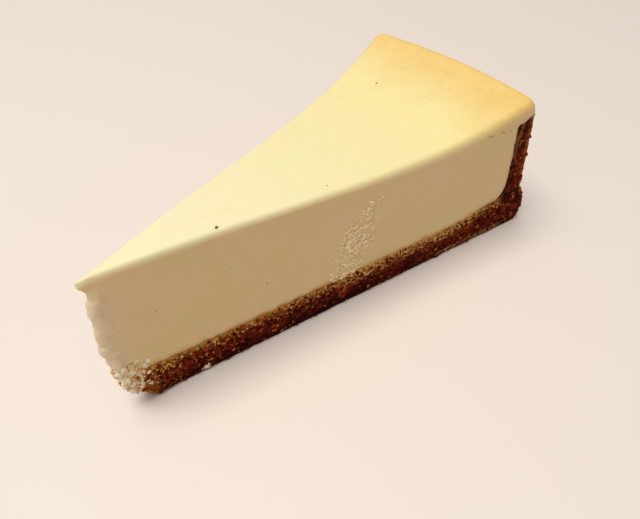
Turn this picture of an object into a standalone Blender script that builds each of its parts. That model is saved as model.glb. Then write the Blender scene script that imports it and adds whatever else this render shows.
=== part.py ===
"""A wedge of baked cheesecake: dense cheese filling on a pressed crumb crust.

The crust is one piece, a base with a wall round the rim. The filling sits on the base, leans on the
wall and laps over its top. Both are cut to the same wedge, so each is a block of cells bent to the
cake's section: cells run from the tip to the rim, across the wedge, and up from floor to roof.
Distances out from the tip are called reach. +X runs from the tip to the rim, +Z is up.
"""

import bmesh
import bpy
from math import cos, exp, hypot, pi, radians, sin
from mathutils import Vector, noise

MM = 0.001

# Driving dimensions, in metres.
CAKE_RADIUS = 127 * MM  # the foot of the crust, as a ten inch springform tin makes it
LIP_RADIUS = 119.4 * MM  # the filling where it laps over the wall, shrunk away from the tin
SLICE_ANGLE = radians(26.6)
TROUGH_REACH = 83 * MM  # the lowest ring of the top
TROUGH_HEIGHT = 41 * MM
TIP_RISE = 4.6 * MM  # how far the tip stands above the trough
RIM_RISE = 4.9 * MM  # how far the rim stands above it
RIM_ROUND = 2.1 * MM  # the soft outer edge of the top
TIP_SHOULDER = 1.0 * MM  # the softened top edge of a cut, near the tip
RIM_SHOULDER = 2.2 * MM  # and near the rim

BASE_THICKNESS = 10.7 * MM
TIP_HEAP = 2.0 * MM  # crumbs pushed up at the tip
TIP_HEAP_REACH = 9 * MM
WALL_HEAP = 2.2 * MM  # the base thickens over this much height towards the wall
WALL_HEAP_START = 95 * MM
FILLET = 4.2 * MM  # the inner corner between base and wall
WALL_FOOT_REACH = 116.8 * MM  # inner face of the wall, just above the fillet
WALL_HEAD_REACH = 114.4 * MM  # inner face of the wall, at its top
WALL_HEAD_HEIGHT = 38.4 * MM
WALL_BOW = 0.4 * MM  # the inner face bows outwards this much, halfway up
WALL_LIP_HEIGHT = 40.6 * MM  # the wall's top slopes up to here at its outer edge
WAIST_REACH = 121.8 * MM  # outer face of the wall, above the foot
WAIST_HEIGHT = 23 * MM
FOOT_HEIGHT = 5 * MM  # the widest point of the foot
FOOT_UNDERCUT = 1.6 * MM
LIP_SHOULDER = 0.6  # the most a shoulder takes of the lip's thickness
GAP = 0.3 * MM  # clearance between the crust and the filling

TORN_HALF_WIDTH = 2.1 * MM  # the tip is torn blunt, this wide each way
TORN_FADE = 9 * MM  # and meets the knife cuts this far back
NOTCH_DEPTH = 1.1 * MM  # under the skin at the tip
NOTCH_BELOW_TOP = 4.5 * MM
TORN_BELLY = 1.2 * MM  # the torn face bulges out this far, halfway down
BELLY_HEIGHT = 24 * MM
BELLY_SPREAD = 9 * MM
TEAR_DEPTH = 0.5 * MM  # unevenness of the torn face
TEAR_SPACING = 5 * MM
CRUST_NOSE_TOP = 0.3 * MM  # where the broken end of the crust starts, at its top
CRUST_NOSE_BOTTOM = 7 * MM  # and at its bottom

CRUST_CELLS = (26, 5, 6, 2, 9)  # base, fillet, inner face, head and outer face of the wall
FILLING_CELLS = (26, 5, 6, 6)  # the same, up to the lip's outer face
ROOF_BACKS = (10 * MM, 7 * MM, 0.8 * MM)  # roof cells change this far inside the wall's head
WALL_FLOOR_REACHES = (119.8 * MM, 120.8 * MM)  # under the inner and outer ends of the wall's head
CELLS_ACROSS = 18
CROWDING = 0.85  # of the columns, towards the cuts
CELLS_UP = 8

FILLING_COLOUR = (0.95, 0.80, 0.50, 1)
CRUST_COLOUR = (0.30, 0.12, 0.03, 1)


def smooth(value, low, high):
    """0 below low, 1 above high, with an even bend between."""
    t = min(max((value - low) / (high - low), 0), 1)
    return t * t * (3 - 2 * t)


def steps(low, high, count):
    return [low + (high - low) * k / count for k in range(count + 1)]


def resample(outline, count):
    """count + 1 points, evenly spaced along a polyline of (reach, height) points."""
    lengths = [hypot(b[0] - a[0], b[1] - a[1]) for a, b in zip(outline, outline[1:])]
    points = []
    for target in steps(0, sum(lengths), count):
        done = 0
        for (a, b), length in zip(zip(outline, outline[1:]), lengths):
            if target <= done + length or b is outline[-1]:
                t = min((target - done) / length, 1)
                points.append((a[0] + (b[0] - a[0]) * t, a[1] + (b[1] - a[1]) * t))
                break
            done += length
    return points


def joined(stretches, cells):
    """Stretches of an outline, end to end, each brought to its share of the cells along."""
    points = []
    for stretch, count in zip(stretches, cells):
        points = points[:-1] + resample(stretch, count)
    return points


def top_height(reach):
    """The filling's top: a low dome at the tip, a ring-shaped trough and a raised rim."""
    if reach < TROUGH_REACH:
        return TROUGH_HEIGHT + TIP_RISE * (1 + cos(pi * reach / TROUGH_REACH)) / 2
    return TROUGH_HEIGHT + RIM_RISE * ((reach - TROUGH_REACH) / (LIP_RADIUS - TROUGH_REACH)) ** 2


def base_height(reach):
    heap = TIP_HEAP * exp(-reach / TIP_HEAP_REACH)
    return BASE_THICKNESS + heap + WALL_HEAP * smooth(reach, WALL_HEAP_START, WALL_FOOT_REACH)


def wall_outer(height):
    """Reach of the outer face, from the widest point of the foot up to the lip."""
    foot = (CAKE_RADIUS - WAIST_REACH) * smooth(height, FOOT_HEIGHT, WAIST_HEIGHT)
    lip = (WAIST_REACH - LIP_RADIUS) * smooth(height, WAIST_HEIGHT, WALL_LIP_HEIGHT)
    return CAKE_RADIUS - foot - lip


def crust_inside(nose, gap):
    """The crust's inner outline, moved into the filling by gap: base, fillet, inner face and head."""
    start = WALL_FOOT_REACH - FILLET
    base = [(s, base_height(s) + gap) for s in steps(nose, start, CRUST_CELLS[0])]
    foot = base_height(start) + FILLET
    radius = FILLET - gap
    angles = steps(0, pi / 2, CRUST_CELLS[1])
    fillet = [(start + radius * sin(a), foot - radius * cos(a)) for a in angles]
    low, high = fillet[-1], (WALL_HEAD_REACH - gap, WALL_HEAD_HEIGHT + gap)
    face = [
        (low[0] + (high[0] - low[0]) * t + WALL_BOW * sin(pi * t), low[1] + (high[1] - low[1]) * t)
        for t in steps(0, 1, CRUST_CELLS[2])
    ]
    return base, fillet, face, [high, (LIP_RADIUS, WALL_LIP_HEIGHT + gap)]


def filling_roof():
    """The filling's top, in stretches over those of its floor, down the lip's outer face."""
    bounds = [0] + [WALL_HEAD_REACH - back for back in ROOF_BACKS]
    top = [[(s, top_height(s)) for s in steps(low, high, 24)] for low, high in zip(bounds, bounds[1:])]
    soft_start = LIP_RADIUS - RIM_ROUND
    drop = top_height(soft_start) - RIM_ROUND
    angles = steps(0, pi / 2, 6)
    edge = [(soft_start + RIM_ROUND * sin(a), drop + RIM_ROUND * cos(a)) for a in angles]
    return *top, top[-1][-1:] + edge


def crust_floor():
    """The crust's underside, in stretches under those of its roof, out to the widest point."""
    bounds = (CRUST_NOSE_BOTTOM, WALL_FOOT_REACH - FILLET, WALL_FOOT_REACH, *WALL_FLOOR_REACHES)
    flat = [[(low, 0), (high, 0)] for low, high in zip(bounds, bounds[1:])]
    flat_end = CAKE_RADIUS - FOOT_UNDERCUT
    angles = steps(0, radians(80), CRUST_CELLS[4])
    foot = [(flat_end + FOOT_UNDERCUT * sin(a), FOOT_HEIGHT * (1 - cos(a))) for a in angles]
    return *flat, flat[-1][1:] + foot


def crust_roof():
    """The crust's upper side: base, fillet, inner face and head, then down the wall's outer face."""
    down = steps(WALL_LIP_HEIGHT, FOOT_HEIGHT, CRUST_CELLS[4])
    return *crust_inside(CRUST_NOSE_TOP, 0), [(wall_outer(z), z) for z in down]


def half_width(reach, depth):
    """Half the wedge's width: the knife cuts, widened where the tip is torn. Depth is below the top."""
    torn = TORN_HALF_WIDTH * (0.3 + 0.7 * smooth(depth, 0, NOTCH_BELOW_TOP))
    cut = reach * sin(SLICE_ANGLE / 2)
    return hypot(cut, torn * exp(-reach / TORN_FADE))


def tear(height, across, depth):
    """How far the torn end is set back: a notch under the skin, then a ragged face with a belly."""
    notch = NOTCH_DEPTH * exp(-(((depth - NOTCH_BELOW_TOP) / (2 * MM)) ** 2))
    belly = TORN_BELLY * exp(-(((height - BELLY_HEIGHT) / BELLY_SPREAD) ** 2))
    ragged = TEAR_DEPTH * noise.noise(Vector((across, height, 0)) / TEAR_SPACING)
    return notch - belly + ragged * smooth(depth, 0, NOTCH_BELOW_TOP)


def cell_block(cells):
    """The surface of a block of unit cells, cells[axis] of them along each axis."""
    block = bmesh.new()
    bmesh.ops.create_cube(block, size=1)
    bmesh.ops.scale(block, vec=cells, verts=block.verts)
    bmesh.ops.translate(block, vec=[count / 2 for count in cells], verts=block.verts)
    for axis, count in enumerate(cells):
        normal = Vector([float(axis == k) for k in range(3)])
        for cut in range(1, count):
            every = block.verts[:] + block.edges[:] + block.faces[:]
            bmesh.ops.bisect_plane(block, geom=every, plane_co=normal * cut, plane_no=normal)
    return block


def place_filling(low, high, up, across):
    """Where a corner of the filling's cells goes, between a floor and a roof point of its section."""
    reach = low[0] + (high[0] - low[0]) * up
    inset = (1 - abs(across)) * half_width(high[0], 0)
    shoulder = TIP_SHOULDER + (RIM_SHOULDER - TIP_SHOULDER) * (high[0] / LIP_RADIUS) ** 2
    shoulder = min(shoulder, half_width(high[0], 0), (high[1] - low[1]) * LIP_SHOULDER)
    inside = max(shoulder - inset, 0)
    roof = high[1] - (shoulder - (shoulder**2 - inside**2) ** 0.5)
    height = low[1] + (roof - low[1]) * up
    depth = roof - height
    turn = across * SLICE_ANGLE / 2
    torn = tear(height, across * TORN_HALF_WIDTH, depth) * exp(-reach / (TORN_FADE / 2))
    return Vector((reach * cos(turn) + torn, across * half_width(reach, depth), height))


def place_crust(low, high, up, across):
    """Where a corner of the crust's cells goes. The broken end bulges between its top and bottom."""
    reach = low[0] + (high[0] - low[0]) * up
    height = low[1] + (high[1] - low[1]) * up
    bulge = (CRUST_NOSE_BOTTOM - CRUST_NOSE_TOP) * 0.35 * sin(pi * up) * exp(-reach / TORN_FADE)
    turn = across * SLICE_ANGLE / 2
    wide = half_width(reach, TROUGH_HEIGHT)
    return Vector(((reach - bulge) * cos(turn), across * wide, height))


def spacing_across(step):
    """Columns crowd towards the cuts, where the shoulders curve."""
    even = 2 * step / CELLS_ACROSS - 1
    return sin(pi / 2 * even) * CROWDING + even * (1 - CROWDING)


def wedge(name, floor, roof, cells, place, material):
    """One solid of the slice, named and finished."""
    floor = joined(floor, cells)
    roof = joined(roof, cells)
    block = cell_block((sum(cells), CELLS_ACROSS, CELLS_UP))
    for corner in block.verts:
        along, step, up = (round(c) for c in corner.co)
        corner.co = place(floor[along], roof[along], up / CELLS_UP, spacing_across(step))
    bmesh.ops.recalc_face_normals(block, faces=block.faces)
    mesh = bpy.data.meshes.new(name)
    block.to_mesh(mesh)
    block.free()
    mesh.shade_smooth()
    mesh.set_sharp_from_angle(angle=radians(35))
    mesh.materials.append(material)
    piece = bpy.data.objects.new(name, mesh)
    bpy.data.collections["baked_cheesecake"].objects.link(piece)
    return piece


def food(name, colour, roughness):
    material = bpy.data.materials.new(name)
    material.use_nodes = True
    shader = material.node_tree.nodes["Principled BSDF"]
    shader.inputs["Base Color"].default_value = colour
    shader.inputs["Roughness"].default_value = roughness
    shader.inputs["Metallic"].default_value = 0
    return material


def stand_on_origin(pieces):
    """Parents the pieces to an empty that puts the middle of their footprint at the origin."""
    stand = bpy.data.objects.new("stand", None)
    bpy.data.collections["baked_cheesecake"].objects.link(stand)
    corners = [vertex.co for piece in pieces for vertex in piece.data.vertices]
    for axis in (0, 1):
        values = [corner[axis] for corner in corners]
        stand.location[axis] = -(min(values) + max(values)) / 2
    for piece in pieces:
        piece.parent = stand


def main():
    for thing in list(bpy.data.objects):
        bpy.data.objects.remove(thing)
    bpy.context.scene.collection.children.link(bpy.data.collections.new("baked_cheesecake"))
    crust = wedge(
        "crumb_crust",
        crust_floor(),
        crust_roof(),
        CRUST_CELLS,
        place_crust,
        food("baked crumb", CRUST_COLOUR, 0.8),
    )
    filling = wedge(
        "cheese_filling",
        crust_inside(0, GAP),
        filling_roof(),
        FILLING_CELLS,
        place_filling,
        food("baked cheese", FILLING_COLOUR, 0.5),
    )
    stand_on_origin([crust, filling])


main()
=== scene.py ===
import random
from math import asin, cos, exp, hypot, pi, radians, sin, sqrt

import bmesh
import bpy
from mathutils import Euler, Matrix, Vector, noise
from mathutils.bvhtree import BVHTree


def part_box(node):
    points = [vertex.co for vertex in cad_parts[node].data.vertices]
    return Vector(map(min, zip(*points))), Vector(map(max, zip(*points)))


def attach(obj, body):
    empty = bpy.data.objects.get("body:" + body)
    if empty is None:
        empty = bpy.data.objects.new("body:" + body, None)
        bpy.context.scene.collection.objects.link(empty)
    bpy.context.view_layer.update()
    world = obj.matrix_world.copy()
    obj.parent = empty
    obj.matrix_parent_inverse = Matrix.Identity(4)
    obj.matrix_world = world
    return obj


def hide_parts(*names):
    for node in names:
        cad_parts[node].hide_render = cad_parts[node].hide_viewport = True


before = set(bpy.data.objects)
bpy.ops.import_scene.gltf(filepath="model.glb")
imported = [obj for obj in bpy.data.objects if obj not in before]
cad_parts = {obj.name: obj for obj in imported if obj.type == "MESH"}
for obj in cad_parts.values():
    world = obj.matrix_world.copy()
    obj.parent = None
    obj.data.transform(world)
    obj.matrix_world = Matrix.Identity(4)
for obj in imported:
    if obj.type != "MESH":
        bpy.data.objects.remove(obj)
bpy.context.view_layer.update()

# A slice of baked cheesecake: filling, crumb crust, and the crumbs and curds that a knife leaves.
# Reach is the distance out from the tip, +X runs from the tip to the rim and +Z is up.

mm = 0.001
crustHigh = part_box("crumb_crust")[1]
rng = random.Random(14)

cake = dict(
    radius=127 * mm,  # tip to the foot of the crust
    lipRadius=119.4 * mm,  # tip to the outer face of the filling's lip
    troughReach=83 * mm,  # the lowest ring of the top
    troughHeight=41 * mm,
    tipRise=4.6 * mm,
    rimRise=4.9 * mm,
    rimRound=2.1 * mm,
    tipShoulder=1.0 * mm,  # how far a knife cut's top edge is rounded, near the tip
    rimShoulder=2.2 * mm,  # and near the rim
    baseThickness=10.7 * mm,
    tipHeap=2.0 * mm,
    wallHeap=2.2 * mm,
    fillet=4.2 * mm,
    wallFoot=116.8 * mm,  # inner face of the wall, above the fillet
    wallHead=114.4 * mm,  # and at its top
    wallHeadHeight=38.4 * mm,
    wallBow=0.4 * mm,
    wallLipHeight=40.6 * mm,
    waist=121.8 * mm,
    waistHeight=23 * mm,
    footHeight=5 * mm,
    footUndercut=1.6 * mm,
)
tipX = crustHigh.x - cake["radius"]
halfAngle = asin(crustHigh.y / cake["radius"])


def smooth(value, low, high):
    t = min(max((value - low) / (high - low), 0), 1)
    return t * t * (3 - 2 * t)


def bell(value, middle, spread):
    return exp(-(((value - middle) / spread) ** 2))


def steps(low, high, count):
    return [low + (high - low) * k / count for k in range(count + 1)]


def resample(outline, count):
    # count + 1 points, evenly spaced along a polyline
    lengths = [hypot(b[0] - a[0], b[1] - a[1]) for a, b in zip(outline, outline[1:])]
    total, points, done, k = sum(lengths), [], 0.0, 0
    for target in steps(0, total, count):
        while k < len(lengths) - 1 and target > done + lengths[k]:
            done += lengths[k]
            k += 1
        t = min((target - done) / lengths[k], 1)
        a, b = outline[k], outline[k + 1]
        points.append((a[0] + (b[0] - a[0]) * t, a[1] + (b[1] - a[1]) * t))
    return points


def joined(stretches, cells):
    points = []
    for stretch, count in zip(stretches, cells):
        points = points[:-1] + resample(stretch, count)
    return points


def topHeight(reach):
    trough, lip = cake["troughReach"], cake["lipRadius"]
    if reach < trough:
        return cake["troughHeight"] + cake["tipRise"] * (1 + cos(pi * reach / trough)) / 2
    return cake["troughHeight"] + cake["rimRise"] * ((reach - trough) / (lip - trough)) ** 2


def baseHeight(reach):
    heap = cake["tipHeap"] * exp(-reach / (9 * mm))
    return cake["baseThickness"] + heap + cake["wallHeap"] * smooth(reach, 95 * mm, cake["wallFoot"])


def wallOuter(height):
    foot = (cake["radius"] - cake["waist"]) * smooth(height, cake["footHeight"], cake["waistHeight"])
    lip = cake["waist"] - cake["lipRadius"]
    lip *= smooth(height, cake["waistHeight"], cake["wallLipHeight"])
    return cake["radius"] - foot - lip


def halfWidth(reach, depth):
    # the knife cuts, widened where the tip is torn below its skin
    torn = 1.6 * mm * (0.35 + 0.65 * smooth(depth, 1.5 * mm, 5 * mm))
    return hypot(reach * sin(halfAngle), torn * exp(-reach / (9 * mm)))


def insideOutline(nose, tipEnd, gap):
    # base near the tip, rest of the base, fillet, inner face and head of the wall
    start = cake["wallFoot"] - cake["fillet"]
    foot = baseHeight(start) + cake["fillet"]
    radius = cake["fillet"] - gap
    near = [(s, baseHeight(s) + gap) for s in steps(nose, tipEnd, 20)]
    base = [(s, baseHeight(s) + gap) for s in steps(tipEnd, start, 60)]
    fillet = [(start + radius * sin(a), foot - radius * cos(a)) for a in steps(0, pi / 2, 12)]
    low, high = fillet[-1], (cake["wallHead"] - gap, cake["wallHeadHeight"] + gap)
    face = []
    for t in steps(0, 1, 12):
        across = low[0] + (high[0] - low[0]) * t + cake["wallBow"] * sin(pi * t)
        face.append((across, low[1] + (high[1] - low[1]) * t))
    return near, base, fillet, face, [high, (cake["lipRadius"], cake["wallLipHeight"] + gap)]


def deselectAll():
    if bpy.context.object and bpy.context.object.mode != "OBJECT":
        bpy.ops.object.mode_set(mode="OBJECT")
    bpy.ops.object.select_all(action="DESELECT")


def startPiece(name):
    piece = bpy.context.object
    piece.name = name
    piece.data.name = name
    return piece


def cellBlock(name, along, up, across):
    # a flat grid is extruded once, and its crossing edges are then cut
    deselectAll()
    bpy.ops.mesh.primitive_grid_add(x_subdivisions=along, y_subdivisions=up, size=1)
    piece = startPiece(name)
    bpy.ops.object.mode_set(mode="EDIT")
    bpy.ops.mesh.select_all(action="SELECT")
    bpy.ops.mesh.extrude_region_move(TRANSFORM_OT_translate={"value": (0, 0, 1)})
    bpy.ops.mesh.select_all(action="DESELECT")
    bpy.ops.mesh.select_mode(type="EDGE")
    body = bmesh.from_edit_mesh(piece.data)
    for edge in body.edges:
        edge.select_set(abs(edge.verts[0].co.z - edge.verts[1].co.z) > 0.5)
    bmesh.update_edit_mesh(piece.data)
    bpy.ops.mesh.subdivide(number_cuts=across - 1)
    bpy.ops.mesh.select_all(action="SELECT")
    bpy.ops.mesh.normals_make_consistent(inside=False)

    def rank(point):
        column, row, layer = (round(2 * n * c) for n, c in zip((along, up, across), point))
        return (layer * 1000 + row) * 1000 + column

    # the cuts come in a different order each time, so corners and faces are sorted
    body = bmesh.from_edit_mesh(piece.data)
    body.verts.sort(key=lambda corner: rank(corner.co))
    body.faces.sort(key=lambda face: rank(face.calc_center_median()))
    bmesh.update_edit_mesh(piece.data)
    bpy.ops.object.mode_set(mode="OBJECT")
    return piece


def bend(piece, floor, roof, place):
    # each corner of the block goes between its floor and roof points
    along = len(floor) - 1
    for vertex in piece.data.vertices:
        k = round((vertex.co.x + 0.5) * along)
        t = 2 * vertex.co.z - 1
        crowded = 0.55 * t + 0.45 * sin(pi / 2 * t)  # columns crowd towards the cuts
        vertex.co = place(floor[k], roof[k], vertex.co.y + 0.5, crowded)
        vertex.co.x += tipX
    piece.data.flip_normals()  # the bend swapped height and width, which turned the faces inward
    piece.data.update()


def relief(piece, height):
    # moves each vertex out along its normal
    normals = [n.vector.copy() for n in piece.data.vertex_normals]
    moves = [height(v.co, n) for v, n in zip(piece.data.vertices, normals)]
    for vertex, normal, move in zip(piece.data.vertices, normals, moves):
        vertex.co += normal * move
    piece.data.update()


def paint(piece, name, value):
    # a number at each vertex, which a material reads by name
    layer = piece.data.attributes.new(name, "FLOAT", "POINT")
    normals = [n.vector.copy() for n in piece.data.vertex_normals]
    layer.data.foreach_set("value", [value(v.co, n) for v, n in zip(piece.data.vertices, normals)])


def finishPiece(piece, slot, *nodes):
    piece.data.shade_smooth()
    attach(piece, "root")
    if nodes:
        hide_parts(*nodes)


def reachOf(point):
    return hypot(point.x - tipX, point.y)


def cutPoint(along, height):
    # a point on the near knife cut
    return Vector((tipX + along * cos(halfAngle), -along * sin(halfAngle), height))


def cutNormal():
    return Vector((-sin(halfAngle), -cos(halfAngle), 0))


def colour(hexCode):
    # sRGB hex to linear
    channels = [int(hexCode[k:k + 2], 16) / 255 for k in (1, 3, 5)]
    return [c / 12.92 if c < 0.04045 else ((c + 0.055) / 1.055) ** 2.4 for c in channels] + [1]


def newMaterial(name, **constants):
    material = bpy.data.materials.new(name)
    material.use_nodes = True
    shader = material.node_tree.nodes["Principled BSDF"]
    for key, value in constants.items():
        shader.inputs[key.replace("_", " ")].default_value = value
    return material, shader


def addNode(material, kind, settings, inputs):
    made = material.node_tree.nodes.new("ShaderNode" + kind)
    for key, value in settings.items():
        setattr(made, key, value)
    for key, value in inputs.items():
        if isinstance(value, bpy.types.NodeSocket):
            material.node_tree.links.new(value, made.inputs[key])
        else:
            made.inputs[key].default_value = value
    return made


def mixed(material, amount, first, second):
    return addNode(material, "Mix", dict(data_type="RGBA"), {0: amount, 6: first, 7: second}).outputs[2]


def painted(material, name):
    return addNode(material, "Attribute", dict(attribute_name=name), {}).outputs["Fac"]


def addGrain(material, shader, place, size, detail, strength, depth):
    # fine bumps, of a size and depth in metres
    grain = addNode(material, "TexNoise", {}, {"Vector": place, "Scale": 1 / size, "Detail": detail})
    heights = {"Strength": strength, "Distance": depth, "Height": grain.outputs[0]}
    bump = addNode(material, "Bump", {}, heights)
    material.node_tree.links.new(bump.outputs[0], shader.inputs["Normal"])


def bakedCheese():
    # baked cream cheese custard: pale, dense and slightly translucent, matt where it was cut,
    # with a thin skin on top that browns to gold near the rim
    material, shader = newMaterial(
        "baked cream cheese custard",
        Roughness=0.62,
        IOR=1.45,
        Subsurface_Weight=0.25,
        Subsurface_Radius=(1.0, 0.62, 0.32),
        Subsurface_Scale=2.2 * mm,
    )
    place = addNode(material, "TexCoord", {}, {}).outputs["Object"]
    skinAndEdgeLight = painted(material, "skinAndEdgeLight")
    brown = painted(material, "brown")
    curd = painted(material, "curd")
    soak = painted(material, "soak")

    def blotches(size, detail, low, high):
        # soft noise with features of this size in metres, stretched to 0..1
        made = addNode(material, "TexNoise", {}, {"Vector": place, "Scale": 1 / size, "Detail": detail})
        spread = addNode(material, "MapRange", {}, {"Value": made.outputs[0], 1: low, 2: high})
        return spread.outputs[0]

    broad = blotches(22 * mm, 2, 0.35, 0.65)
    middle = blotches(5 * mm, 3, 0.3, 0.7)
    fine = blotches(1.1 * mm, 2, 0.35, 0.65)
    # the cut and torn-curd colours are darker and tanner than the custard itself: partly its own
    # colour, partly painted shade of the upright cuts and the torn tip
    cut = mixed(material, middle, colour("#E3C190"), colour("#E6C798"))
    cut = mixed(material, broad, cut, colour("#DEC58C"))
    cut = mixed(material, curd, cut, colour("#E4D2B0"))
    cut = mixed(material, soak, cut, colour("#CC9A50"))
    # the thin skin: pale at the tip, buttery past the middle
    flat = addNode(
        material, "Mapping", {}, {"Vector": place, "Location": (-tipX, 0, 0), "Scale": (1, 1, 0)}
    ).outputs[0]
    reach = addNode(material, "VectorMath", dict(operation="LENGTH"), {0: flat}).outputs["Value"]
    butter = addNode(
        material, "MapRange", dict(interpolation_type="SMOOTHSTEP"),
        {"Value": reach, 1: 15 * mm, 2: 105 * mm},
    ).outputs[0]
    top = mixed(material, butter, colour("#FBEFC0"), colour("#FCE9A6"))
    # browning comes in mottled patches over the last fifth
    added = dict(operation="MULTIPLY_ADD")
    patchy = addNode(material, "Math", added, {0: middle, 1: 0.22, 2: brown}).outputs[0]
    patchy = addNode(material, "Math", added, {0: fine, 1: 0.16, 2: patchy}).outputs[0]
    gold = addNode(material, "MapRange", {}, {"Value": patchy, 1: 0.24, 2: 1.45}).outputs[0]
    top = mixed(material, gold, top, colour("#F1C468"))
    # the skin colour also runs a few millimetres down the cuts, as painted light on the rounded top
    # edge
    material.node_tree.links.new(mixed(material, skinAndEdgeLight, cut, top), shader.inputs["Base Color"])
    gloss = addNode(material, "MapRange", {}, {"Value": skinAndEdgeLight, 1: 0.0, 2: 1.0, 3: 0.62, 4: 0.5})
    material.node_tree.links.new(gloss.outputs[0], shader.inputs["Roughness"])
    # the cut shows a fine curd grain, the skin faint dimples
    addGrain(material, shader, place, 0.7 * mm, 3, 0.16, 0.25 * mm)
    return material


def bakedCrumb():
    # pressed biscuit crumb, baked with butter: dark reddish brown and coarse where it was cut, with
    # painted shade that darkens its foot, streaked with custard that the knife dragged down, lighter
    # where the tin pressed it
    material, shader = newMaterial(
        "pressed biscuit crumb", Roughness=0.8, IOR=1.45, Specular_IOR_Level=0.06
    )
    place = addNode(material, "TexCoord", {}, {}).outputs["Object"]
    smear = painted(material, "smear")
    pressed = painted(material, "pressed")
    butter = painted(material, "butter")
    dark = painted(material, "dark")
    cells = addNode(material, "TexVoronoi", {}, {"Vector": place, "Scale": 1 / (0.8 * mm)})
    tones = addNode(material, "SeparateColor", {}, {"Color": cells.outputs["Color"]})
    broad = addNode(material, "TexNoise", {}, {"Vector": place, "Scale": 1 / (4 * mm), "Detail": 3})
    broad = addNode(material, "MapRange", {}, {"Value": broad.outputs[0], 1: 0.4, 2: 0.6}).outputs[0]
    crumb = mixed(material, tones.outputs[0], colour("#4E0600"), colour("#96300A"))
    crumb = mixed(material, broad, crumb, colour("#360200"))
    # painted shade: the "dark" attribute turns the foot of the cut near black
    crumb = mixed(material, dark, crumb, colour("#200100"))
    pale = addNode(material, "MapRange", {}, {"Value": tones.outputs[1], 1: 0.93, 2: 0.97}).outputs[0]
    crumb = mixed(material, pale, crumb, colour("#B8742A"))
    crumb = mixed(material, butter, crumb, colour("#B9762A"))
    crumb = mixed(material, smear, crumb, colour("#DFB266"))
    golden = mixed(material, tones.outputs[0], colour("#541A06"), colour("#A0602C"))
    golden = mixed(material, broad, golden, colour("#4A1806"))
    golden = mixed(material, pale, golden, colour("#D0A060"))
    crumb = mixed(material, pressed, crumb, golden)
    material.node_tree.links.new(crumb, shader.inputs["Base Color"])
    addGrain(material, shader, place, 0.4 * mm, 4, 0.6, 0.2 * mm)
    return material


def loose(name, darkHex, paleHex, roughness):
    # crumbs and curds of one kind: every one has its own tone
    material, shader = newMaterial(name, Roughness=roughness, IOR=1.45, Specular_IOR_Level=0.08)
    place = addNode(material, "TexCoord", {}, {}).outputs["Object"]
    tone = painted(material, "tone")
    own = mixed(material, tone, colour(darkHex), colour(paleHex))
    material.node_tree.links.new(own, shader.inputs["Base Color"])
    addGrain(material, shader, place, 0.4 * mm, 2, 0.4, 0.15 * mm)
    return material


filling = dict(
    cells=(46, 116, 8, 26, 12),  # tip, middle, fillet, inner face and lip
    up=64,
    across=60,
    tipEnd=20 * mm,
    gap=0.05 * mm,  # it all but touches the crust
    notchDepth=1.0 * mm,
    belly=1.3 * mm,
    noseRound=1.8 * mm,
    tornDepth=0.9 * mm,
    curdSize=1.1 * mm,
    curdDepth=0.55 * mm,
    ripple=0.12 * mm,
    patchFoot=10 * mm,  # height of the foot of the rough patch
    patchRise=24 * mm,
)


def patchAmount(point):
    # where the knife dragged the near cut rough: a slanting band, halfway along
    if point.y > 0:
        return 0
    t = (point.z - filling["patchFoot"]) / filling["patchRise"]
    middle = (61.4 + 5.4 * t + 10 * max(t - 0.8, 0)) * mm
    width = (2.5 - 1.4 * abs(t - 0.4)) * mm
    ragged = 1.6 * mm * noise.noise(point / (3 * mm)) + 1.0 * mm * noise.noise(point / (1.2 * mm))
    aside = reachOf(point) - middle + ragged
    core = bell(aside, 0, width * (1.5 if aside < 0 else 1))
    return core * smooth(t, 1.1, 0.45) * smooth(t, -0.1, 0.05)


def placeFilling(low, high, up, across):
    reach = low[0] + (high[0] - low[0]) * up
    wide = halfWidth(high[0], 0)
    growth = (high[0] / cake["lipRadius"]) ** 2
    shoulder = cake["tipShoulder"] + (cake["rimShoulder"] - cake["tipShoulder"]) * growth
    shoulder = min(shoulder, wide, (high[1] - low[1]) * 0.6)
    inside = max(shoulder - (1 - abs(across)) * wide, 0)
    roof = high[1] - (shoulder - sqrt(shoulder**2 - inside**2))
    height = low[1] + (roof - low[1]) * up
    depth = roof - height
    notch = filling["notchDepth"] * bell(depth, 5 * mm, 2 * mm)
    belly = filling["belly"] * bell(height, 24 * mm, 9 * mm)
    nose = filling["noseRound"] * (1 - sqrt(1 - across**2))
    back = (notch - belly + nose) * exp(-reach / (4.5 * mm))
    return Vector((reach * cos(across * halfAngle) + back, across * halfWidth(reach, depth), height))


def fillingRelief(point, normal):
    reach = reachOf(point)
    depth = topHeight(reach) - point.z
    torn = smooth(depth, 1 * mm, 4 * mm) * exp(-((reach / (5 * mm)) ** 2))
    ridges = noise.noise(Vector((point.x, point.y, point.z * 2)) / (2 * mm))
    curds = 0.6 * noise.noise(point / (2.8 * mm)) + 0.45 * ridges
    move = torn * filling["tornDepth"] * (curds - 0.1)
    patch = patchAmount(point)
    move += patch * filling["curdDepth"] * (noise.noise(point / filling["curdSize"]) - 0.12)
    calm = 1 - max(torn, patch)
    stretched = Vector((point.x, point.y, point.z * 2.2))
    move += calm * filling["ripple"] * noise.noise(stretched / (13 * mm))
    # the lower edge was dragged into the crumbs
    low = smooth(point.z, baseHeight(reach) + 2.5 * mm, baseHeight(reach) + 0.5 * mm)
    move += (abs(normal.z) < 0.6) * low * 0.3 * mm * (noise.noise(point / (2.2 * mm)) + 0.1)
    return move


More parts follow.
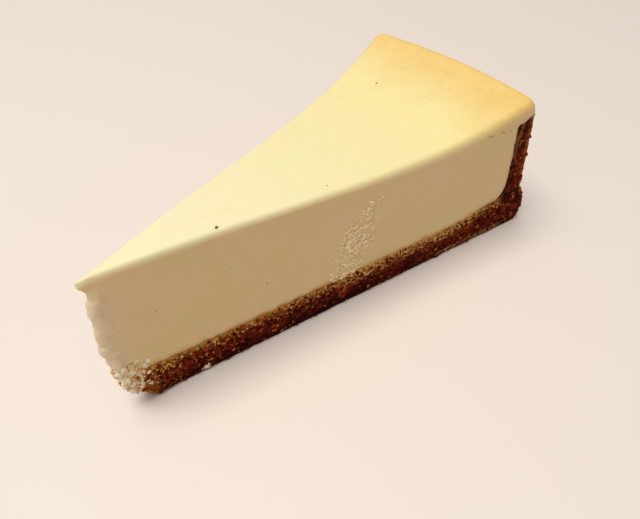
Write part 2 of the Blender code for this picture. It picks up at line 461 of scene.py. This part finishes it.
def fillingRoof():
    # the top, in stretches over those of the floor, then down the lip's outer face
    bounds = [0, filling["tipEnd"]] + [cake["wallHead"] - back * mm for back in (10, 7, 0.8)]
    top = [[(s, topHeight(s)) for s in steps(a, b, 60)] for a, b in zip(bounds, bounds[1:])]
    soft = cake["lipRadius"] - cake["rimRound"]
    drop = topHeight(soft) - cake["rimRound"]
    turns = steps(0, pi / 2, 12)
    edge = [(soft + cake["rimRound"] * sin(a), drop + cake["rimRound"] * cos(a)) for a in turns]
    return *top, top[-1][-1:] + edge


def skinAndEdgeLightAmount(point, normal):
    # 1 on the browned skin, fading down the cuts over its thickness; the band down the cuts is partly
    # the skin's section and partly painted light on the rounded top edge
    thickness = (2.4 + 2.0 * smooth(reachOf(point), 50 * mm, 112 * mm)) * mm
    return smooth(topHeight(reachOf(point)) - point.z, thickness, 0.5 * mm)


def brownAmount(point, normal):
    # the oven browns a ring inside the rim, unevenly round it
    uneven = 2.5 * mm * noise.noise(Vector((point.y, 0, 0)) / (14 * mm))
    return smooth(reachOf(point) + uneven - 0.08 * point.y, 90 * mm, 119 * mm)


def curdAmount(point, normal):
    tip = exp(-((reachOf(point) / (4.5 * mm)) ** 2))
    below = smooth(topHeight(reachOf(point)) - point.z, 2 * mm, 6 * mm)
    return min(1, 0.25 * patchAmount(point) + 0.9 * tip * below)


def soakAmount(point, normal):
    # butter from the crust has soaked the lowest millimetre or so
    height = point.z - baseHeight(reachOf(point)) + 0.9 * mm * noise.noise(point / (2.5 * mm))
    return smooth(height, 2 * mm, -0.3 * mm)


def buildFilling(material):
    floor = joined(insideOutline(0, filling["tipEnd"], filling["gap"]), filling["cells"])
    roof = joined(fillingRoof(), filling["cells"])
    piece = cellBlock("cheeseFilling", sum(filling["cells"]), filling["up"], filling["across"])
    bend(piece, floor, roof, placeFilling)
    relief(piece, fillingRelief)
    paint(piece, "skinAndEdgeLight", skinAndEdgeLightAmount)
    paint(piece, "brown", brownAmount)
    paint(piece, "curd", curdAmount)
    paint(piece, "soak", soakAmount)
    piece.data.materials.append(material)
    finishPiece(piece, "baked_cheese", "cheese_filling")
    return piece


crust = dict(
    cells=(60, 220, 8, 36, 8, 60),  # nose, base, fillet, inner face, head and outer face
    up=22,
    across=50,
    noseTop=0.3 * mm,
    noseBottom=7 * mm,
    noseEnd=22 * mm,
    crumbSize=1.3 * mm,
    crumbHeight=0.34 * mm,
    chipHeight=15 * mm,  # a chip is missing from the outer edge of the near cut, this high up
    chipDepth=1.1 * mm,
)


def placeCrust(low, high, up, across):
    reach = low[0] + (high[0] - low[0]) * up
    height = low[1] + (high[1] - low[1]) * up
    bulge = (crust["noseBottom"] - crust["noseTop"]) * 0.35 * sin(pi * up) * exp(-reach / (9 * mm))
    outer = smooth(reach, 116 * mm, 122 * mm)
    chip = crust["chipDepth"] * bell(height, crust["chipHeight"], 1.4 * mm) * smooth(-across, 0.7, 0.95)
    wide = halfWidth(reach, cake["troughHeight"])
    out = (reach - bulge - chip * outer) * cos(across * halfAngle)
    return Vector((out, across * wide, height))


def crumbBumps(point, size):
    # rounded crumbs with gaps between them, about -0.5 to 0.5
    distances = noise.voronoi(point / size)[0]
    return 0.5 - 1.2 * distances[0]


def pressedAmount(point, normal):
    # the outer face and the underside were pressed flat against the tin
    outer = smooth(normal.x, 0.15, 0.5) * smooth(wallOuter(point.z) - reachOf(point), 2 * mm, 1 * mm)
    outer *= 0.5 + 0.4 * smooth(noise.noise(point / (1.5 * mm)), -0.3, 0.2)
    return max(outer, smooth(-normal.z, 0.6, 0.9))


def crustRelief(point, normal):
    if point.z < 0.3 * mm and normal.z < -0.5:
        return 0
    low = smooth(point.z, 0, 1.2 * mm)
    bumps = crumbBumps(point, crust["crumbSize"])
    bumps += 0.5 * crumbBumps(point, crust["crumbSize"] * 0.45)
    broken = 1 + 1.2 * exp(-((reachOf(point) / (9 * mm)) ** 2)) - 0.2 * pressedAmount(point, normal)
    return low * broken * crust["crumbHeight"] * (bumps + 0.9 + 0.5 * noise.noise(point / (5 * mm)))


def smearAmount(point, normal):
    # custard dragged over the upper part of the cut, thickest past the middle
    reach = reachOf(point)
    depth = baseHeight(reach) - point.z
    stretch = smooth(reach, 52 * mm, 62 * mm) * smooth(reach, 114 * mm, 104 * mm)
    width = (1.2 + 3.4 * stretch) * mm
    band = smooth(depth + 1.5 * mm * noise.noise(point / (3 * mm)), width, width * 0.45)
    holes = smooth(noise.noise(point / (0.9 * mm)) + 0.5 * noise.noise(point / (0.4 * mm)), -0.35, 0)
    sliced = 1 if abs(normal.y) > 0.6 else 0.2
    band *= (0.3 + 0.7 * stretch) * smooth(reach, 118 * mm, 114 * mm)
    # and a paler line low down near the wall
    line = 0.8 * bell(point.z, 1.6 * mm, 0.5 * mm) * smooth(reach, 92 * mm, 97 * mm)
    return holes * sliced * max(band, line * smooth(reach, 120 * mm, 117 * mm))


def butterAmount(point, normal):
    # butter and custard make the top of the crust and the front of the nose amber
    reach = reachOf(point)
    depth = baseHeight(reach) - point.z + 1.2 * mm * noise.noise(point / (2.2 * mm))
    top = smooth(depth, 2.2 * mm, 0.2 * mm) * smooth(reach, 114 * mm, 104 * mm)
    nose = smooth(reach + 2 * mm * noise.noise(point / (2 * mm)), 9 * mm, 4 * mm)
    edge = smooth(wallOuter(point.z) - reach, 1.7 * mm, 0.4 * mm) * smooth(point.z, 8 * mm, 14 * mm)
    mottled = 0.55 + 0.45 * smooth(noise.noise(point / (0.8 * mm)), -0.2, 0.2)
    return min(1, 0.9 * top + 0.85 * nose + 0.9 * edge) * mottled


def shadeAndBlotchAmount(point, normal):
    # painted shade: the lower half of the cut is darkened nearly to black in the middle of the slice,
    # the shade at its foot; near the wall it is darker in blotches
    reach = reachOf(point)
    height = point.z + 2.2 * mm * noise.noise(point / (3 * mm))
    height += 1.5 * mm * noise.noise(point / (1.2 * mm))
    cut = smooth(height, 6.5 * mm, 2 * mm) * (0.55 + 0.4 * bell(reach, 56 * mm, 20 * mm))
    wall = 0.7 * smooth(reach, 108 * mm, 116 * mm) * smooth(noise.noise(point / (2 * mm)), -0.1, 0.25)
    return max(cut, wall) * (1 - pressedAmount(point, normal))


def crustFloor():
    # the underside, in stretches under those of the roof, out to the widest point
    start = cake["wallFoot"] - cake["fillet"]
    bounds = (crust["noseBottom"], crust["noseEnd"], start, cake["wallFoot"], 119.8 * mm, 120.8 * mm)
    flat = [[(low, 0), (high, 0)] for low, high in zip(bounds, bounds[1:])]
    flatEnd = cake["radius"] - cake["footUndercut"]
    turns = steps(0, radians(80), 12)
    under, high = cake["footUndercut"], cake["footHeight"]
    foot = [(flatEnd + under * sin(a), high * (1 - cos(a))) for a in turns]
    return *flat, flat[-1][1:] + foot


def buildCrust(material):
    down = [(wallOuter(z), z) for z in steps(cake["wallLipHeight"], cake["footHeight"], 40)]
    roof = joined((*insideOutline(crust["noseTop"], crust["noseEnd"], 0), down), crust["cells"])
    floor = joined(crustFloor(), crust["cells"])
    piece = cellBlock("crumbCrust", sum(crust["cells"]), crust["up"], crust["across"])
    bend(piece, floor, roof, placeCrust)
    relief(piece, crustRelief)
    paint(piece, "smear", smearAmount)
    paint(piece, "butter", butterAmount)
    # "dark" holds painted shade at the foot of the cut, and blotches near the wall
    paint(piece, "dark", shadeAndBlotchAmount)
    paint(piece, "pressed", pressedAmount)
    piece.data.materials.append(material)
    finishPiece(piece, "baked_crumb", "crumb_crust")
    return piece


def lump(faces, roughness, seed):
    # one irregular bit, about 2 across: a ball with its corners pushed about and a side cut off
    deselectAll()
    bpy.ops.mesh.primitive_ico_sphere_add(subdivisions=faces, radius=1)
    bit = startPiece("bit")
    bpy.ops.object.mode_set(mode="EDIT")
    bpy.ops.mesh.select_all(action="SELECT")
    bpy.ops.transform.vertex_random(offset=roughness, seed=seed)
    bpy.ops.mesh.select_all(action="SELECT")
    bpy.ops.mesh.bisect(
        plane_co=(0.55, 0, 0), plane_no=(1, 0.3, 0.2), use_fill=True, clear_outer=True
    )
    bpy.ops.mesh.select_all(action="SELECT")
    bpy.ops.mesh.quads_convert_to_tris()
    bpy.ops.object.mode_set(mode="OBJECT")
    corners = [v.co.copy() for v in bit.data.vertices]
    sides = [tuple(f.vertices) for f in bit.data.polygons]
    bpy.data.objects.remove(bit)
    return corners, sides


def scatter(name, spots, shapes, material, slot, shade=None):
    # every spot (place, normal, size, flatness) gets its own turned copy, joined in one mesh.
    # shade darkens the bits by place and normal
    points, faces, tones = [], [], []
    for place, normal, size, flatness in spots:
        corners, sides = rng.choice(shapes)
        turn = Euler([rng.uniform(0, 2 * pi) for _ in range(3)]).to_matrix()
        stand = normal.to_track_quat("Z", "Y").to_matrix()
        stretch = Matrix.Diagonal((rng.uniform(0.75, 1.3), rng.uniform(0.75, 1.3), flatness))
        first = len(points)
        points += [place + stand @ stretch @ turn @ corner * size for corner in corners]
        faces += [tuple(first + k for k in side) for side in sides]
        light = 1 - shade(place, normal) if shade else 1
        tones += [rng.random() * light] * len(corners)
    for point in points:
        point.z = max(point.z, 0.02 * mm)
    mesh = bpy.data.meshes.new(name)
    mesh.from_pydata(points, [], faces)
    mesh.attributes.new("tone", "FLOAT", "POINT").data.foreach_set("value", tones)
    piece = bpy.data.objects.new(name, mesh)
    bpy.context.scene.collection.objects.link(piece)
    mesh.materials.append(material)
    finishPiece(piece, slot)
    return piece


def spotsOver(piece, lie, count, smallest, largest):
    # random places over a piece's faces. lie gives how likely a bit is there, how far it stands
    # out and how flat it lies
    faces = [(face, lie(face.center, face.normal)) for face in piece.data.polygons]
    weights = [face.area * chance for face, (chance, out, flatness) in faces]
    spots = []
    for face, (chance, out, flatness) in rng.choices(faces, weights=weights, k=count):
        corners = [piece.data.vertices[k].co for k in sorted(face.vertices)]
        shares = [rng.random() + 0.01 for _ in corners]
        place = sum((c * w for c, w in zip(corners, shares)), Vector()) / sum(shares)
        size = smallest + (largest - smallest) * rng.random() ** 2.2
        spots.append((place + face.normal * size * out, face.normal.copy(), size, flatness))
    return spots


def crumbLie(place, normal):
    # flush on the cuts and the pressed wall, loose on the broken nose, none under the filling
    reach = reachOf(place)
    under = normal.z < -0.6 or place.z < 0.4 * mm
    covered = normal.z > 0.7 and reach < cake["lipRadius"] - 2 * mm
    inner = normal.x < -0.5 and reach > 20 * mm
    if under or covered or inner:
        return 0, 0, 1
    loose = exp(-((reach / (8 * mm)) ** 2))
    chance = 1 - 0.9 * smooth(reach, 8 * mm, 3 * mm) * smooth(place.z, 2 * mm, 5 * mm)
    chance *= (1 - 0.8 * shadeAndBlotchAmount(place, normal)) * (1 - 0.6 * pressedAmount(place, normal))
    return chance, 0.25 - 0.1 * loose, 0.4 + 0.4 * loose


def chunkLie(place, normal):
    # the coarser ones stay clear of the filling
    chance, out, flatness = crumbLie(place, normal)
    below = smooth(baseHeight(reachOf(place)) - place.z, 0.8 * mm, 2 * mm)
    wall = smooth(reachOf(place), cake["wallFoot"], cake["waist"])
    return chance * max(below, wall), out, flatness


def amberLie(place, normal):
    # paler crumbs gather along the top of the crust, at the broken nose and on the outer face
    chance, out, flatness = crumbLie(place, normal)
    reach = reachOf(place)
    onTop = 0.75 * bell(baseHeight(reach) - place.z, 0.9 * mm, 1.7 * mm) * (reach < cake["wallFoot"])
    nose = 0.7 * exp(-((reach / (10 * mm)) ** 2))
    outer = 0.1 * pressedAmount(place, normal)
    return chance * min(1, onTop + nose + outer + 0.015), out, flatness


def nuggetLie(place, normal):
    # bits of custard and crumb stuck together, heaped under the torn tip
    reach = reachOf(place)
    top = baseHeight(reach)
    heap = smooth(reach, 7.5 * mm, 2.5 * mm) * smooth(place.z, top - 7 * mm, top - 4 * mm)
    return heap * smooth(place.z, top + 5 * mm, top + 1.5 * mm), 0.1, 0.7


def curdLie(place, normal):
    # torn custard: grains on the torn tip and in the rough patch
    if abs(normal.z) > 0.6:
        return 0, 0, 1
    reach = reachOf(place)
    below = smooth(topHeight(reach) - place.z, 4 * mm, 10 * mm)
    tip = 0.9 * below * exp(-((reach / (3.6 * mm)) ** 2)) * smooth(place.z, 18 * mm, 12.5 * mm)
    clumps = 0.25 + 0.75 * smooth(noise.noise(place / (1.7 * mm)), -0.25, 0.3)
    return min(1, tip + patchAmount(place) * clumps), 0, 0.8


bits = dict(
    # how many, and the smallest and largest radius
    darkCrumbs=(6100, 0.18 * mm, 0.5 * mm),
    darkNuggets=(700, 0.35 * mm, 0.75 * mm),
    amberCrumbs=(2800, 0.16 * mm, 0.45 * mm),
    curdGrains=(2100, 0.12 * mm, 0.48 * mm),
    crustNuggets=(150, 0.3 * mm, 1.0 * mm),
    fillingNuggets=(150, 0.25 * mm, 0.9 * mm),
)


def buildBits(fillingPiece, crustPiece):
    small = [lump(1, 0.35, seed) for seed in range(5)]
    large = [lump(2, 0.22, seed) for seed in range(5, 9)]
    grains = [lump(1, 0.25, seed) for seed in range(20, 25)]
    nuggets = [lump(2, 0.45, seed) for seed in range(40, 45)]
    dark = loose("dark biscuit crumbs", "#340300", "#983410", 0.8)
    amber = loose("buttery biscuit crumbs", "#7A3C0C", "#DCAA5C", 0.75)
    pale = loose("torn custard curds", "#EBCB90", "#FFF1CA", 0.6)
    tan = loose("custard and crumb nuggets", "#D9AC66", "#FFF3D6", 0.7)
    spots = spotsOver(crustPiece, crumbLie, *bits["darkCrumbs"])
    # the crumbs on the crust carry the same painted shade
    scatter("darkCrumbs", spots, small, dark, "baked_crumb", shadeAndBlotchAmount)
    spots = spotsOver(crustPiece, chunkLie, *bits["darkNuggets"])
    scatter("darkNuggets", spots, large, dark, "baked_crumb", shadeAndBlotchAmount)
    spots = spotsOver(crustPiece, amberLie, *bits["amberCrumbs"])
    scatter("amberCrumbs", spots, small, amber, "baked_crumb", shadeAndBlotchAmount)
    print("crumbs done")
    spots = spotsOver(fillingPiece, curdLie, *bits["curdGrains"])
    scatter("curdGrains", spots, grains, pale, "baked_cheese")
    spots = spotsOver(crustPiece, nuggetLie, *bits["crustNuggets"])
    spots += spotsOver(fillingPiece, nuggetLie, *bits["fillingNuggets"])
    scatter("tipNuggets", spots, nuggets, tan, "baked_cheese")
    print("curds done")


marks = dict(
    # in mm. specks on the top: along and across from the tip, and radius
    specks=((28.2, -5.6, 0.36), (55.5, -10.3, 0.16), (97.1, 11.3, 0.24), (118.5, 10.9, 0.36)),
    # the rest are on the near cut: along, height and radius
    # pits: flat tan spots whose darkness is painted shade of small holes
    pits=(
        (98.3, 38.6, 0.14), (100.9, 39.1, 0.18), (103.9, 39.5, 0.28), (104.9, 39.2, 0.38),
        (107.5, 39.6, 0.18), (108.6, 39.2, 0.34), (109.3, 38.9, 0.2), (111.6, 38.6, 0.2),
        (113.3, 39.4, 0.16), (38.1, 22.1, 0.2), (30.0, 32.2, 0.15), (12.1, 29.0, 0.16),
        (1.9, 34.4, 0.2),
    ),
    darkBits=(
        (115.3, 38.6, 0.7), (87.2, 7.8, 0.5), (90.1, 8.1, 0.35), (92.8, 8.3, 0.35), (75.0, 10.0, 0.65),
    ),
    amberBits=(
        (62.8, 9.0, 1.0), (64.2, 9.3, 0.7), (15.6, 8.8, 0.5), (21.9, 9.8, 0.5), (23.0, 10.2, 0.35),
    ),
    flakes=(
        (19.5, 1.8, 1.25), (18.4, 1.5, 0.9), (20.5, 2.2, 0.7), (21.4, 2.6, 0.25),
        (8.2, 1.5, 0.45), (6.6, 14.2, 0.9), (5.5, 14.0, 0.7),
    ),
    # and these on the torn nose: across, height and radius
    noseFlakes=(
        (-1.0, 15.2, 1.0), (-0.2, 13.9, 1.1), (-1.4, 13.2, 0.8), (0.6, 12.6, 0.8), (-0.6, 11.4, 0.7),
    ),
)


def surfaceOf(piece):
    # its ray_cast gives where a line first meets the piece, and the normal there
    mesh = piece.data
    return BVHTree.FromPolygons([v.co for v in mesh.vertices], [f.vertices for f in mesh.polygons])


def onCut(rows, flatness):
    places = [(cutPoint(along * mm, height * mm), size * mm) for along, height, size in rows]
    return [(place, cutNormal(), size, flatness) for place, size in places]


def buildMarks(fillingPiece):
    surface = surfaceOf(fillingPiece)
    rounded = [lump(2, 0.2, seed) for seed in range(30, 33)]
    jagged = [lump(2, 0.5, seed) for seed in range(50, 54)]
    spots = []
    for along, across, size in marks["specks"]:
        above = Vector((tipX + along * mm, across * mm, 60 * mm))
        place, normal = surface.ray_cast(above, Vector((0, 0, -1)))[:2]
        spots.append((place, normal, size * mm, 0.3))
    brown = loose("scorched specks", "#6A4E22", "#8A6A2C", 0.7)
    scatter("topSpecks", spots, rounded, brown, "baked_cheese")
    # pits are drawn as tan spots standing on the cut: painted shade of small holes
    tan = loose("painted shade of pits in the cut", "#86602C", "#B08A4C", 0.7)
    scatter("pitShadeSpots", onCut(marks["pits"], 0.22), jagged, tan, "baked_cheese")
    black = loose("burnt crumbs", "#1E0300", "#3A0A02", 0.8)
    scatter("burntCrumbs", onCut(marks["darkBits"], 0.35), rounded, black, "baked_crumb")
    gold = loose("buttery lumps", "#B98226", "#D9A450", 0.6)
    scatter("butteryLumps", onCut(marks["amberBits"], 0.3), jagged, gold, "baked_crumb")
    spots = onCut(marks["flakes"], 0.5)
    for across, height, size in marks["noseFlakes"]:
        ahead = Vector((tipX - 20 * mm, across * mm, height * mm))
        place, normal = surface.ray_cast(ahead, Vector((1, 0, 0)))[:2]
        spots.append((place, normal, size * mm, 0.6))
    cream = loose("custard flakes", "#F4E2BC", "#FFF8E6", 0.6)
    scatter("custardFlakes", spots, jagged, cream, "baked_cheese")


view = dict(
    azimuth=-45.1,
    elevation=47.4,
    roll=0.24,
    distance=134.2 * mm,
    lens=31.5,
    aim=(tipX + 49.51 * mm, -14.11 * mm, 24.97 * mm),
)


def addCamera():
    a, e = radians(view["azimuth"]), radians(view["elevation"])
    back = Vector((sin(a) * cos(e), -cos(a) * cos(e), sin(e)))
    data = bpy.data.cameras.new("camera")
    data.lens = view["lens"]
    data.clip_start = 5 * mm
    camera = bpy.data.objects.new("camera", data)
    bpy.context.scene.collection.objects.link(camera)
    camera.location = Vector(view["aim"]) + back * view["distance"]
    camera.rotation_mode = "QUATERNION"
    turn = Euler((0, 0, radians(view["roll"]))).to_quaternion()
    camera.rotation_quaternion = (-back).to_track_quat("-Z", "Y") @ turn
    bpy.context.scene.camera = camera


def addLamp(name, direction, distance, size, power, hexCode):
    data = bpy.data.lights.new(name, "AREA")
    data.size = size
    data.energy = power
    data.color = colour(hexCode)[:3]
    lamp = bpy.data.objects.new(name, data)
    bpy.context.scene.collection.objects.link(lamp)
    lamp.location = Vector(direction).normalized() * distance
    lamp.rotation_mode = "QUATERNION"
    lamp.rotation_quaternion = (-Vector(direction)).to_track_quat("-Z", "Y")


def addFloor():
    deselectAll()
    bpy.ops.mesh.primitive_plane_add(size=6)
    floor = startPiece("floor")
    material = newMaterial("pale matt floor", Base_Color=colour("#F1E4D8"), Roughness=0.6)[0]
    floor.data.materials.append(material)


def addWorld(hexCode, strength):
    world = bpy.data.worlds.new("studio")
    world.use_nodes = True
    background = world.node_tree.nodes["Background"]
    background.inputs["Color"].default_value = colour(hexCode)
    background.inputs["Strength"].default_value = strength
    # the camera sees a pale backdrop, which lights nothing
    seen = addNode(world, "Background", {}, {"Color": colour("#EADFD4"), "Strength": 1.0}).outputs[0]
    fromCamera = addNode(world, "LightPath", {}, {}).outputs["Is Camera Ray"]
    both = addNode(world, "MixShader", {}, {0: fromCamera, 1: background.outputs[0], 2: seen})
    surface = world.node_tree.nodes["World Output"].inputs["Surface"]
    world.node_tree.links.new(both.outputs[0], surface)
    bpy.context.scene.world = world


bpy.context.scene.view_settings.view_transform = "Standard"
addCamera()
addFloor()
addWorld("#FFFAF4", 0.3)
addLamp("window", (-0.27, 0.08, 0.96), 1.4, 0.8, 16, "#FFFFFF")
print("stage done")
fillingPiece = buildFilling(bakedCheese())
print("filling done")
crustPiece = buildCrust(bakedCrumb())
print("crust done")
buildBits(fillingPiece, crustPiece)
buildMarks(fillingPiece)
